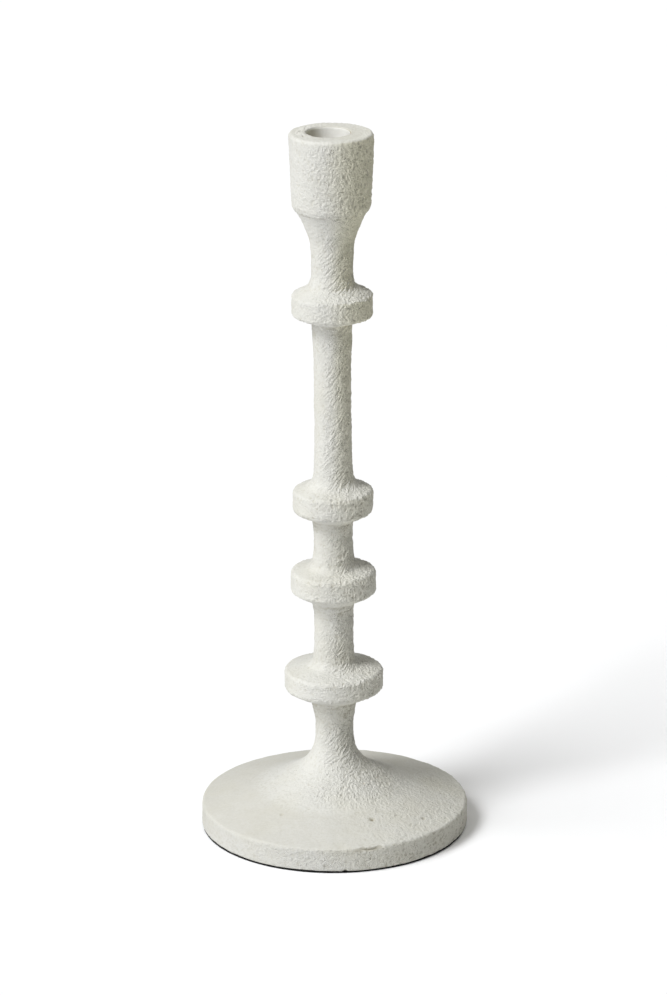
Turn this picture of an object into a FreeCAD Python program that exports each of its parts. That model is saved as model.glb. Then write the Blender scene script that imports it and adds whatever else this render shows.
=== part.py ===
import FreeCAD, Part
import math
import os

# A free-standing turned wooden candlestick for one 22 mm taper candle, coated in a rough
# off-white plaster paint.  Units are millimetres.  The origin is on the surface it stands on,
# on the turning axis, with +Z up.  Everything but the candle socket is turned about the Z axis.
#
# A profile is a closed list of corners (r, z) or (r, z, rounding), where rounding is the
# radius of the arc that replaces that corner.

# --- Driving heights, from the floor up -------------------------------------------------
PAD_THICKNESS = 1.0
BASE_RIM_TOP = 13.3
BASE_TOP = 29.2
SEAM_4 = 71.8            # each section starts under its collar, lowest collar first
SEAM_3 = 127.4
SEAM_2 = 173.1
SEAM_1 = 281.7
CUP_BOTTOM = 341.6
CUP_TOP = 382.4

# --- Base and pad -----------------------------------------------------------------------
PAD_RADIUS = 70.9
BASE_RADIUS = 71.2
BASE_LOWER_EDGE = 0.5
BASE_UPPER_EDGE = 3.6
DISH = (33.8, 23.9, 56.0)          # hollow between the rim and the trumpet
TRUMPET = (10.15, 38.2, 22.3)      # sweep from the base up into the first neck
BASE_SEAM_RADIUS = 25.0            # the foot section sits on the base inside this radius

# --- Neck radius at each seam, shared by the sections above and below it ----------------
NECK_AT_SEAM_4 = 12.6
NECK_AT_SEAM_3 = 11.6
NECK_AT_SEAM_2 = 10.8
NECK_AT_SEAM_1 = 10.7

# --- Joints between the turned pieces ---------------------------------------------------
GLUE_GAP = 0.1                     # radial room for glue around every tenon
END_GAP = 0.6                      # room for glue past the end of every tenon
TENON_CHAMFER = 0.8
STEM_TENON_RADIUS = 5.0
STEM_TENON_LENGTH = 14.0
FOOT_TENON_RADIUS = 8.0
FOOT_TENON_LENGTH = 12.0
CUP_SPIGOT_RADIUS = 9.0
CUP_SPIGOT_LENGTH = 4.5

# --- Candle cup and its metal socket ----------------------------------------------------
CUP_FOOT_RADIUS = 18.9
CUP_KNUCKLE = (20.2, 344.3, 3.2)   # rounded lower corner of the cup
CUP_RADIUS = 21.95
CUP_RIM_EDGE = 2.0
CUP_MOUTH_EDGE = 0.6
SOCKET_X = -1.5                    # the socket is bored a little off the turning axis
SOCKET_Y = 1.4
SOCKET_RADIUS = 11.1               # for a 7/8 in (22.2 mm) taper candle
SOCKET_DEPTH = 28.0
LINER_WALL = 0.5
LINER_CLEARANCE = 0.05
LINER_SINK = 0.6                   # the liner's lip lies this far below the cup's rim

# --- Screws -----------------------------------------------------------------------------
SCREW_CLEARANCE = 0.05             # between a thread and the wood that it has cut into
PASS_CLEARANCE = 0.35              # between a thread and a hole that it only passes through
DRIVE_RADIUS = 1.4                 # star recess in each head, taken as round
DRIVE_DEPTH = 1.2
BASE_SCREW_RADIUS = 2.25
BASE_SCREW_LENGTH = 45.0
PAN_HEAD_RADIUS = 4.6
PAN_HEAD_HEIGHT = 3.2
BASE_RECESS_RADIUS = 9.5           # hollow under the base that holds the head and washer
BASE_RECESS_DEPTH = 8.0
WASHER_RADIUS = 8.0
WASHER_THICKNESS = 1.2
CUP_SCREW_RADIUS = 2.0
CUP_SCREW_LENGTH = 40.0
FLAT_HEAD_RADIUS = 4.0             # 90 degree countersunk head, flush with the liner's floor

# --- Levels that follow from the values above ------------------------------------------
RECESS_TOP = PAD_THICKNESS + BASE_RECESS_DEPTH
BASE_SCREW_SEAT = RECESS_TOP - WASHER_THICKNESS
FOOT_TENON_END = BASE_TOP - FOOT_TENON_LENGTH
BASE_MORTISE_FLOOR = FOOT_TENON_END - END_GAP
LINER_TOP = CUP_TOP - LINER_SINK
CUP_SCREW_SEAT = LINER_TOP - SOCKET_DEPTH
LINER_BOTTOM = CUP_SCREW_SEAT - LINER_WALL
LINER_RADIUS = SOCKET_RADIUS + LINER_WALL
SPIGOT_TOP = CUP_BOTTOM + CUP_SPIGOT_LENGTH
CUP_SCREW_HOLE = CUP_SCREW_RADIUS + PASS_CLEARANCE
DIMPLE_DEPTH = FLAT_HEAD_RADIUS - CUP_SCREW_RADIUS
DIMPLE_WALL = LINER_WALL * math.sqrt(2)      # the dimple's wall, measured level

UP = FreeCAD.Vector(0, 0, 1)


def point(corner):
    """Place a profile corner in the XZ plane."""
    return FreeCAD.Vector(corner[0], 0, corner[1])


def rounded_edges(corners):
    """Join the corners of a closed profile by lines, with an arc at each rounded corner."""
    entries = []
    exits = []
    arcs = []
    for index, corner in enumerate(corners):
        here = point(corner)
        rounding = corner[2] if len(corner) > 2 else 0.0
        if rounding == 0.0:
            entries.append(here)
            exits.append(here)
            arcs.append(None)
            continue
        back = (point(corners[index - 1]) - here).normalize()
        ahead = (point(corners[(index + 1) % len(corners)]) - here).normalize()
        half_angle = back.getAngle(ahead) / 2
        tangent = rounding / math.tan(half_angle)
        middle = (back + ahead).normalize() * (rounding / math.sin(half_angle) - rounding)
        entries.append(here + back * tangent)
        exits.append(here + ahead * tangent)
        arcs.append(Part.Arc(entries[-1], here + middle, exits[-1]))
    edges = []
    for index, arc in enumerate(arcs):
        if arc is not None:
            edges.append(arc.toShape())
        end = entries[(index + 1) % len(corners)]
        edges.append(Part.makeLine(exits[index], end))
    return edges


def turned(corners):
    """Turn a closed profile about the Z axis."""
    face = Part.Face(Part.Wire(rounded_edges(corners)))
    return face.revolve(FreeCAD.Vector(0, 0, 0), UP, 360)


def rod(radius, bottom, top, x=0.0, y=0.0):
    """Make an upright cylinder between two levels."""
    return Part.makeCylinder(radius, top - bottom, FreeCAD.Vector(x, y, bottom), UP)


def cone_down(top_radius, top, depth, x=0.0, y=0.0):
    """Make a 90 degree cone that narrows downwards from a level."""
    place = FreeCAD.Vector(x, y, top - depth)
    return Part.makeCone(top_radius - depth, top_radius, depth, place, UP)


def tenon_up(radius, shoulder, length):
    """Profile of a tenon that rises from its shoulder, ending on the axis."""
    return [
        (radius, shoulder),
        (radius, shoulder + length - TENON_CHAMFER),
        (radius - TENON_CHAMFER, shoulder + length),
        (0, shoulder + length),
    ]


def mortise_up(radius, shoulder, length):
    """Profile of the hole that such a tenon enters, starting on the axis."""
    floor = shoulder + length + END_GAP
    return [(0, floor), (radius + GLUE_GAP, floor), (radius + GLUE_GAP, shoulder)]


def make_felt_pad():
    return rod(PAD_RADIUS, 0, PAD_THICKNESS)


def make_base():
    """Dished disc with a mortise in its top and a recess for the screw below."""
    screw_hole = BASE_SCREW_RADIUS + PASS_CLEARANCE
    mortise = FOOT_TENON_RADIUS + GLUE_GAP
    return turned([
        (BASE_RECESS_RADIUS, PAD_THICKNESS),
        (BASE_RADIUS, PAD_THICKNESS, BASE_LOWER_EDGE),
        (BASE_RADIUS, BASE_RIM_TOP, BASE_UPPER_EDGE),
        DISH,
        (BASE_SEAM_RADIUS, BASE_TOP),
        (mortise, BASE_TOP),
        (mortise, BASE_MORTISE_FLOOR),
        (screw_hole, BASE_MORTISE_FLOOR),
        (screw_hole, RECESS_TOP),
        (BASE_RECESS_RADIUS, RECESS_TOP),
    ])


def make_foot_section():
    """Trumpet and first neck, with a tenon down into the base and one up into the next."""
    lower_tenon = [
        (0, FOOT_TENON_END),
        (FOOT_TENON_RADIUS - TENON_CHAMFER, FOOT_TENON_END),
        (FOOT_TENON_RADIUS, FOOT_TENON_END + TENON_CHAMFER),
        (FOOT_TENON_RADIUS, BASE_TOP),
    ]
    outside = [
        (BASE_SEAM_RADIUS, BASE_TOP),
        TRUMPET,
        (9.8, SEAM_4 - 12.5, 16.3),
        (NECK_AT_SEAM_4, SEAM_4),
    ]
    upper_tenon = tenon_up(STEM_TENON_RADIUS, SEAM_4, STEM_TENON_LENGTH)
    section = turned(lower_tenon + outside + upper_tenon)
    pilot_top = BASE_SCREW_SEAT + BASE_SCREW_LENGTH + END_GAP
    pilot = rod(BASE_SCREW_RADIUS + SCREW_CLEARANCE, FOOT_TENON_END - 1, pilot_top)
    return section.cut(pilot)


def make_stem_section(bottom, outside, shoulder):
    """One collar and the neck above it, mortised below and tenoned above."""
    profile = mortise_up(STEM_TENON_RADIUS, bottom, STEM_TENON_LENGTH)
    profile += outside
    profile += tenon_up(STEM_TENON_RADIUS, shoulder, STEM_TENON_LENGTH)
    return turned(profile)


def make_lower_section():
    return make_stem_section(SEAM_4, [
        (NECK_AT_SEAM_4, SEAM_4),
        (26.1, SEAM_4 + 6.4, 2.5),
        (26.1, SEAM_4 + 16.6, 2.0),
        (10.9, SEAM_4 + 19.2, 6.0),
        (10.05, SEAM_4 + 31.6, 40.0),
        (10.1, SEAM_3 - 6.7, 14.0),
        (NECK_AT_SEAM_3, SEAM_3),
    ], SEAM_3)


def make_middle_section():
    return make_stem_section(SEAM_3, [
        (NECK_AT_SEAM_3, SEAM_3),
        (22.3, SEAM_3 + 5.8, 1.3),
        (22.2, SEAM_3 + 16.7, 2.4),
        (11.4, SEAM_3 + 18.7, 5.7),
        (10.2, SEAM_3 + 27.8, 24.0),
        (9.8, SEAM_2 - 9.6, 16.0),
        (NECK_AT_SEAM_2, SEAM_2),
    ], SEAM_2)


def make_shaft_section():
    return make_stem_section(SEAM_2, [
        (NECK_AT_SEAM_2, SEAM_2),
        (20.9, SEAM_2 + 5.1, 2.8),
        (20.8, SEAM_2 + 15.7, 2.1),
        (10.6, SEAM_2 + 19.5, 8.4),
        (9.5, SEAM_2 + 35.1, 120.0),
        (9.45, SEAM_1 - 21.7, 200.0),
        (NECK_AT_SEAM_1, SEAM_1),
    ], SEAM_1)


def make_upper_section():
    """Top collar, neck and the hollow sweep that carries the cup, with a spigot on top."""
    profile = mortise_up(STEM_TENON_RADIUS, SEAM_1, STEM_TENON_LENGTH)
    profile += [
        (NECK_AT_SEAM_1, SEAM_1),
        (20.9, SEAM_1 + 3.9, 1.6),
        (20.8, SEAM_1 + 14.2, 1.5),
        (12.5, SEAM_1 + 18.7, 5.4),
        (10.45, SEAM_1 + 24.6, 9.7),
        (10.9, CUP_BOTTOM - 16.7, 31.0),
        (15.7, CUP_BOTTOM - 5.0, 27.0),
        (CUP_FOOT_RADIUS - 0.6, CUP_BOTTOM),
    ]
    profile += tenon_up(CUP_SPIGOT_RADIUS, CUP_BOTTOM, CUP_SPIGOT_LENGTH)
    pilot_end = CUP_SCREW_SEAT - CUP_SCREW_LENGTH - END_GAP
    pilot = rod(CUP_SCREW_RADIUS + SCREW_CLEARANCE, pilot_end, SPIGOT_TOP + 1)
    return turned(profile).cut(pilot)


def make_candle_cup():
    """Slightly tapered cup, bored off its axis for the liner."""
    cup = turned(mortise_up(CUP_SPIGOT_RADIUS, CUP_BOTTOM, CUP_SPIGOT_LENGTH) + [
        (CUP_FOOT_RADIUS, CUP_BOTTOM, 0.4),
        CUP_KNUCKLE,
        (CUP_RADIUS, CUP_TOP, CUP_RIM_EDGE),
        (0, CUP_TOP),
    ])
    bore_radius = LINER_RADIUS + LINER_CLEARANCE
    bore = rod(bore_radius, LINER_BOTTOM, CUP_TOP + 1, SOCKET_X, SOCKET_Y)
    mouth_top = CUP_TOP + CUP_MOUTH_EDGE
    mouth_depth = 2 * CUP_MOUTH_EDGE
    mouth = cone_down(bore_radius + mouth_depth, mouth_top, mouth_depth, SOCKET_X, SOCKET_Y)
    dimple = cone_down(FLAT_HEAD_RADIUS + DIMPLE_WALL, CUP_SCREW_SEAT, DIMPLE_DEPTH)
    screw_hole = rod(CUP_SCREW_HOLE, CUP_BOTTOM, CUP_TOP)
    return cup.cut(bore).cut(mouth).cut(dimple).cut(screw_hole)


def make_socket_liner():
    """Thin steel tube whose floor is dimpled for the screw; it keeps the flame off the wood."""
    tube = rod(LINER_RADIUS, LINER_BOTTOM, LINER_TOP, SOCKET_X, SOCKET_Y)
    hollow = rod(SOCKET_RADIUS, CUP_SCREW_SEAT, LINER_TOP + 1, SOCKET_X, SOCKET_Y)
    dimple = cone_down(FLAT_HEAD_RADIUS + DIMPLE_WALL, CUP_SCREW_SEAT, DIMPLE_DEPTH)
    head_room = cone_down(FLAT_HEAD_RADIUS, CUP_SCREW_SEAT, DIMPLE_DEPTH)
    screw_hole = rod(CUP_SCREW_HOLE, CUP_BOTTOM, CUP_TOP)
    return tube.fuse(dimple).cut(hollow).cut(head_room).cut(screw_hole)


def make_screw(radius, length, head):
    """Wood screw that points down, from its head's profile; the head seats at level zero."""
    screw = turned(head + [
        (radius, 2 * radius - length),
        (0, -length),
    ])
    head_top = head[0][1]
    return screw.cut(rod(DRIVE_RADIUS, head_top - DRIVE_DEPTH, head_top))


def make_base_screw():
    """Pan-head screw that points up from the recess, through the base into the foot."""
    screw = make_screw(BASE_SCREW_RADIUS, BASE_SCREW_LENGTH, [
        (0, PAN_HEAD_HEIGHT),
        (PAN_HEAD_RADIUS, PAN_HEAD_HEIGHT, 0.6 * PAN_HEAD_HEIGHT),
        (PAN_HEAD_RADIUS, 0),
        (BASE_SCREW_RADIUS, 0),
    ])
    screw.rotate(FreeCAD.Vector(0, 0, 0), FreeCAD.Vector(1, 0, 0), 180)
    screw.translate(UP * BASE_SCREW_SEAT)
    return screw


def make_base_washer():
    washer = rod(WASHER_RADIUS, BASE_SCREW_SEAT, RECESS_TOP)
    return washer.cut(rod(BASE_SCREW_RADIUS + PASS_CLEARANCE, 0, BASE_TOP))


def make_cup_screw():
    """Countersunk screw that holds the liner and the cup down on the upper section."""
    screw = make_screw(CUP_SCREW_RADIUS, CUP_SCREW_LENGTH, [
        (0, 0),
        (FLAT_HEAD_RADIUS, 0),
        (CUP_SCREW_RADIUS, -DIMPLE_DEPTH),
    ])
    screw.translate(UP * CUP_SCREW_SEAT)
    return screw


PIECES = {
    "felt_pad": make_felt_pad(),
    "base": make_base(),
    "base_screw": make_base_screw(),
    "base_washer": make_base_washer(),
    "foot_section": make_foot_section(),
    "lower_section": make_lower_section(),
    "middle_section": make_middle_section(),
    "shaft_section": make_shaft_section(),
    "upper_section": make_upper_section(),
    "candle_cup": make_candle_cup(),
    "socket_liner": make_socket_liner(),
    "cup_screw": make_cup_screw(),
}

os.makedirs("parts", exist_ok=True)
for node, shape in PIECES.items():
    shape.exportStep("parts/" + node + ".step")
    print(node, "valid", shape.isValid(), "solids", len(shape.Solids), round(shape.Volume, 1))
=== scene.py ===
import math

import bpy
import numpy as np
from mathutils import Matrix, Vector


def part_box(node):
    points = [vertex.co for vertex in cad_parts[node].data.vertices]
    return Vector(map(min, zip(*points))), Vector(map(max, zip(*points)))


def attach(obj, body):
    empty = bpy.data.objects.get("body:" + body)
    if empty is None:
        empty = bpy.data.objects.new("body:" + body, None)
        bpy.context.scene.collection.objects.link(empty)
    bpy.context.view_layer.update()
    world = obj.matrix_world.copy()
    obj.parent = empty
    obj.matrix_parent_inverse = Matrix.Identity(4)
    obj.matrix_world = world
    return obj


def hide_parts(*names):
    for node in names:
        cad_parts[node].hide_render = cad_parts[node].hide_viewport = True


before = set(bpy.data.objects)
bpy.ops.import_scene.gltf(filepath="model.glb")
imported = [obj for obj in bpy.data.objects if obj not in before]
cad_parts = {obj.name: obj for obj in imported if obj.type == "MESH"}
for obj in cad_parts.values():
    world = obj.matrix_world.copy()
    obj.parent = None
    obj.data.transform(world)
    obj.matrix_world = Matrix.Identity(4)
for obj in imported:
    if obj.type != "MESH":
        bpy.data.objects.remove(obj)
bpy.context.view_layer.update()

# A turned wooden candlestick under a rough, off-white plaster coat.  Every size below is in
# millimetres and becomes metres when a mesh is made.  Each turned piece is a loft of rings:
# its coated outside follows the profile and carries the coat's relief, and its joints are
# bare wood.
MM = 0.001


# --- Levels and radii read from the frame -----------------------------
def bottom(node):
    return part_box(node)[0].z / MM


def top(node):
    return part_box(node)[1].z / MM


def half_width(node):
    low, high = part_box(node)
    return (high.x - low.x) / 2 / MM


PAD_TOP = top("felt_pad")
PAD_RADIUS = half_width("felt_pad")
BASE_TOP = top("base")
BASE_RADIUS = half_width("base")
SEAM_4 = bottom("lower_section")      # the seams are numbered from the cup down
SEAM_3 = bottom("middle_section")
SEAM_2 = bottom("shaft_section")
SEAM_1 = bottom("upper_section")
CUP_BOTTOM = bottom("candle_cup")
CUP_TOP = top("candle_cup")
CUP_RADIUS = half_width("candle_cup")
LINER_RADIUS = half_width("socket_liner")
LINER_TOP = top("socket_liner")
LINER_CENTRE = tuple(sum(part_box("socket_liner"), Vector()) / 2 / MM)[:2]
CUP_SCREW_SEAT = top("cup_screw")
CUP_SCREW_END = bottom("cup_screw")
BASE_SCREW_HEAD = bottom("base_screw")
BASE_SCREW_END = top("base_screw")
WASHER_RADIUS = half_width("base_washer")
WASHER_BOTTOM = bottom("base_washer")
WASHER_TOP = top("base_washer")
FOOT_TENON_END = bottom("foot_section")
SPIGOT_TOP = top("upper_section")

# --- Joint sizes ------------------------------------------------------
TENON_RADIUS = 5.0
TENON_LENGTH = 14.0
FOOT_TENON_RADIUS = 8.0
SPIGOT_RADIUS = 9.0
TENON_CHAMFER = 0.8
GLUE_GAP = 0.1             # radial room for glue round a tenon
END_GAP = 0.6              # room past the end of a tenon or a screw
ARRIS = 0.3                # sharp edge taken off a mortise
TENON_FILLET = 0.4         # width of the fillet at a tenon's root
WIDE_FILLET = 0.3          # the same on the foot's tenon and on the cup's spigot
FILLET_HEIGHT = 0.2
BASE_SHOULDER = 18.0       # radius of a ring on the flat joint between base and foot
BASE_RECESS_RADIUS = 9.5
RECESS_CHAMFER = 0.4
BASE_HOLE = 2.6
BASE_PILOT = 2.3
CUP_HOLE = 2.35
CUP_PILOT = 2.05
LINER_WALL = 0.5
LINER_CLEARANCE = 0.05
FLAT_HEAD_RADIUS = 4.0
DIMPLE_DEPTH = 2.0
DIMPLE_RADIUS = FLAT_HEAD_RADIUS + LINER_WALL * math.sqrt(2)

# --- Mesh density -----------------------------------------------------
# Ring spacing along each coated outline, and points round a ring, from the base to the cup.
BASE, FOOT, LOWER, MIDDLE, SHAFT, UPPER, CUP = range(7)
STEPS = (0.5, 0.34, 0.34, 0.34, 0.39, 0.34, 0.32)
SPOKES = (700, 360, 320, 400, 288, 352, 420)


# --- Noise ------------------------------------------------------------
def noise_table(seed):
    """Shuffled numbers and unit gradients for one noise field."""
    random = np.random.default_rng(seed)
    order = random.permutation(256)
    gradients = random.normal(size=(256, 3))
    gradients /= np.linalg.norm(gradients, axis=1)[:, None]
    return np.concatenate([order, order]), gradients


def noise(points, cell, seed):
    """Smooth gradient noise in about -1..1, whose bumps are about one cell (mm) across."""
    order, gradients = noise_table(seed)
    place = points / cell + 37.0 * seed
    floor = np.floor(place)
    inside = place - floor
    corner = floor.astype(np.int64) & 255
    fade = inside ** 3 * (inside * (inside * 6 - 15) + 10)
    total = 0.0
    for dx in (0, 1):
        for dy in (0, 1):
            for dz in (0, 1):
                x = (corner[..., 0] + dx) & 255
                y = (corner[..., 1] + dy) & 255
                z = (corner[..., 2] + dz) & 255
                gradient = gradients[order[order[order[x] + y] + z]]
                value = ((inside - (dx, dy, dz)) * gradient).sum(-1)
                weight = np.where(dx, fade[..., 0], 1 - fade[..., 0])
                weight = weight * np.where(dy, fade[..., 1], 1 - fade[..., 1])
                weight = weight * np.where(dz, fade[..., 2], 1 - fade[..., 2])
                total = total + weight * value
    return total * 1.6


def step_up(value, low, high):
    """0 below low, 1 above high, smooth between; low above high turns it round."""
    t = np.clip((value - low) / (high - low), 0, 1)
    return t * t * (3 - 2 * t)


# --- Outline of the coated outside ------------------------------------
# Corners (radius, height, rounding) from the underside of the base to the top of the cup.
# A "seam" mark is where one turned piece ends and the next begins.  Most of the values are
# rounded results of a fit to the photo's outline, and so are the camera's at the end.
UNDERSIDE_START = BASE_RADIUS - 3.0
RIM_TOP = 13.3
SEAM_FILLET = 1.3          # coat that has filled the corner under each collar
CUP_RIM_EDGE = 1.6

OUTLINE = [
    # base: lower edge, upper edge and dished top
    (UNDERSIDE_START, PAD_TOP, 0, "seam"),
    (BASE_RADIUS, PAD_TOP, 1.0),
    (BASE_RADIUS, RIM_TOP, 1.9),
    (33.8, 23.9, 56.0),
    # foot section: trumpet and first neck
    (25.0, BASE_TOP, 0, "seam"),
    (10.15, 38.2, 22.3),
    (9.8, SEAM_4 - 12.5, 16.3),
    # lower section: widest collar and the neck above it
    (12.6, SEAM_4, SEAM_FILLET, "seam"),
    (26.1, SEAM_4 + 6.4, 2.5),
    (26.1, SEAM_4 + 16.6, 2.0),
    (10.9, SEAM_4 + 19.2, 6.0),
    (10.05, SEAM_4 + 31.6, 40.0),
    (10.1, SEAM_3 - 6.7, 14.0),
    # middle section: second collar and its neck
    (11.6, SEAM_3, SEAM_FILLET, "seam"),
    (22.3, SEAM_3 + 5.8, 1.5),
    (22.2, SEAM_3 + 16.7, 2.4),
    (11.4, SEAM_3 + 18.7, 5.7),
    (10.2, SEAM_3 + 27.8, 24.0),
    (9.8, SEAM_2 - 9.6, 16.0),
    # shaft section: third collar and the long shaft
    (10.8, SEAM_2, SEAM_FILLET, "seam"),
    (20.9, SEAM_2 + 5.1, 2.8),
    (20.8, SEAM_2 + 15.7, 2.1),
    (10.6, SEAM_2 + 19.5, 8.4),
    (9.5, SEAM_2 + 35.1, 120.0),
    (9.45, SEAM_1 - 21.7, 200.0),
    # upper section: top collar, neck and the sweep under the cup
    (10.7, SEAM_1, SEAM_FILLET, "seam"),
    (20.9, SEAM_1 + 3.9, 1.6),
    (20.8, SEAM_1 + 14.2, 1.6),
    (12.5, SEAM_1 + 18.7, 5.4),
    (10.45, SEAM_1 + 24.6, 9.7),
    (10.9, CUP_BOTTOM - 16.7, 31.0),
    (15.7, CUP_BOTTOM - 5.0, 27.0),
    # cup: lower knuckle, side and the start of its rim
    (18.3, CUP_BOTTOM, 0, "seam"),
    (19.0, CUP_BOTTOM, 0.4),
    (20.3, CUP_BOTTOM + 2.8, 3.0),
    (CUP_RADIUS, CUP_TOP, CUP_RIM_EDGE),
    (CUP_RADIUS - 2 * CUP_RIM_EDGE, CUP_TOP, 0, "seam"),
]


def rounded(corners):
    """Points along the outline with its corners rounded, and where in them each seam is."""
    points = []
    seams = []
    places = [np.array(corner[:2], float) for corner in corners]
    for index, corner in enumerate(corners):
        here = places[index]
        arc = [here]
        if corner[2] > 0:
            back = places[index - 1] - here
            ahead = places[index + 1] - here
            back /= np.linalg.norm(back)
            ahead /= np.linalg.norm(ahead)
            half_angle = math.acos(np.clip(back @ ahead, -1, 1)) / 2
            tangent = corner[2] / math.tan(half_angle)
            middle = back + ahead
            middle *= corner[2] / math.sin(half_angle) / np.linalg.norm(middle)
            centre = here + middle
            spread = np.linspace(-1, 1, 33)[:, None]
            chord = here + tangent * ((1 - spread) * back + (1 + spread) * ahead) / 2
            ray = chord - centre
            arc = centre + corner[2] * ray / np.linalg.norm(ray, axis=1)[:, None]
        if len(corner) > 3:
            seams.append(len(points) + len(arc) // 2)
        points.extend(arc)
    return np.array(points), seams


def resampled(points, step):
    """The same line as points at an even spacing of about step."""
    length = np.concatenate([[0], np.cumsum(np.linalg.norm(np.diff(points, axis=0), axis=1))])
    places = np.linspace(0, length[-1], max(2, round(length[-1] / step) + 1))
    return np.stack([np.interp(places, length, points[:, axis]) for axis in (0, 1)], axis=1)


def smoothed(values, width):
    """Average each row with its neighbours over width rows on either side."""
    padded = np.concatenate([values[:1].repeat(width, 0), values, values[-1:].repeat(width, 0)])
    kernel = np.hanning(2 * width + 3)[1:-1]
    kernel /= kernel.sum()
    return np.stack([np.convolve(column, kernel, "valid") for column in padded.T], axis=1)


corner_line, seam_places = rounded(OUTLINE)
sections = []
for step, first, last in zip(STEPS, seam_places[:-1], seam_places[1:]):
    sections.append(resampled(corner_line[first:last + 1], step))
section_starts = np.cumsum([0] + [len(section) - 1 for section in sections])

# The whole profile from the underside to the cup's rim, with its outward direction, the
# distance along it, and how much of a sharp outer edge each of its points lies on.
profile = np.concatenate([sections[0][:1]] + [section[1:] for section in sections])
heading = smoothed(np.gradient(profile, axis=0), 2)
heading /= np.linalg.norm(heading, axis=1)[:, None]
outward = np.stack([heading[:, 1], -heading[:, 0]], axis=1)
travel = np.concatenate([[0], np.cumsum(np.linalg.norm(np.diff(profile, axis=0), axis=1))])
bend = np.append(heading[:-1, 0] * heading[1:, 1] - heading[:-1, 1] * heading[1:, 0], 0)
bend /= np.gradient(travel)
outer_edge = step_up(smoothed(bend[:, None], 3)[:, 0], 0.06, 0.25)
outer_edge *= 1 - 0.8 * step_up(profile[:, 1], CUP_TOP - 12.0, CUP_TOP - 8.0)
outer_edge *= step_up(profile[:, 1], 6.0, 9.0) * (1 - 0.5 * step_up(profile[:, 0], 40.0, 50.0))


# --- The coat's relief ------------------------------------------------
ROUGH_SIDE = (0.94, -0.34, 0)   # where round the axis the coat was left roughest
STROKE_RADIUS = 10.5       # neck radius that the brush strokes are spaced for
STROKE_TWIST = 0.075       # turn of the strokes in radians for each mm along the neck
STROKE_STRETCH = 3.2       # how much longer than wide a stroke is
# Small pits left by air bubbles: distance from the axis, azimuth in degrees, height, size.
PITS = [
    (49.0, -66, 19.8, 1.2),
    (47.5, -126, 20.2, 0.7),
    (60.0, -38, 16.5, 0.9),
    (16.0, -151, CUP_TOP, 0.9),
    (19.0, 8, CUP_TOP, 0.7),
]
CHIP_AZIMUTH = -85.5       # chip in the base's lower edge, in degrees
CHIP_WIDTH = 1.1
CHIP_DEPTH = 0.9
CRACK_AZIMUTH = -75.0      # hairline crack along the base's upper edge
CRACK_HALF_LENGTH = 9.0
CRACK_HEIGHT = 12.6
CRACK_WIDTH = 0.7
CRACK_DEPTH = 0.9
GROOVE_HEIGHT = CUP_BOTTOM - 0.3   # faint groove where the cup meets the stem
GROOVE_WIDTH = 0.55
GROOVE_DEPTH = 0.18


def crests(points, cell, width, seed):
    """Winding ridges with narrow crests, 1 along them and 0 away from them."""
    return np.clip(1 - np.abs(noise(points, cell, seed)) / width, 0, 1) ** 1.3


def worms(points, bent):
    """Short winding ridges of plaster, drawn out upwards in some patches."""
    patches = noise(points, 8.0, 21)
    upright = bent * (1, 1, 0.55)
    ridges = 0.40 * crests(bent, 1.8, 0.5, 31) * step_up(patches, -0.3, 0.2)
    ridges += 0.40 * crests(upright, 1.7, 0.5, 32) * step_up(patches, 0.3, -0.2)
    ridges += 0.20 * crests(bent, 3.2, 0.30, 33)
    return ridges


def brush_strokes(points, warp, along, toward):
    """Slanting strokes up the necks, with gaps that are wider on the smooth side."""
    angle = np.arctan2(points[..., 1], points[..., 0]) - STROKE_TWIST * along
    lane = np.stack([
        STROKE_RADIUS * np.cos(angle),
        STROKE_RADIUS * np.sin(angle),
        along / STROKE_STRETCH + 0 * angle,
    ], axis=-1)
    strokes = 0.42 * crests(lane + 0.3 * warp, 1.4, 0.6, 41)
    strokes *= step_up(noise(points, 6.0, 42) + 0.5 * toward, -0.35, 0.25)
    return strokes


def offset_from(points, azimuth, radius, height):
    """From one place given round the axis to every point, in mm."""
    turn = math.radians(azimuth)
    return points - (radius * math.cos(turn), radius * math.sin(turn), height)


def blemished(points, fine):
    """The fine relief with the pits, the chip, the crack and the groove pressed into it."""
    for pit_radius, azimuth, height, size in PITS:
        away = offset_from(points, azimuth, pit_radius, height) * (1, 1, 0.3) / size
        fine = fine - 0.8 * size * np.exp(-(away ** 2).sum(-1))
    away = offset_from(points, CHIP_AZIMUTH, BASE_RADIUS, PAD_TOP) / CHIP_WIDTH
    fine = fine - CHIP_DEPTH * np.exp(-(away ** 2).sum(-1) ** 2)
    away = offset_from(points, CRACK_AZIMUTH, BASE_RADIUS, CRACK_HEIGHT)
    wander = away[..., 2] + 0.7 * noise(points, 4.0, 91)
    length = np.linalg.norm(away[..., :2], axis=-1)
    crack = np.exp(-(wander / CRACK_WIDTH) ** 2) * step_up(length, CRACK_HALF_LENGTH, 2.0)
    fine = fine - CRACK_DEPTH * crack
    return fine - GROOVE_DEPTH * np.exp(-((points[..., 2] - GROOVE_HEIGHT) / GROOVE_WIDTH) ** 2)


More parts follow.
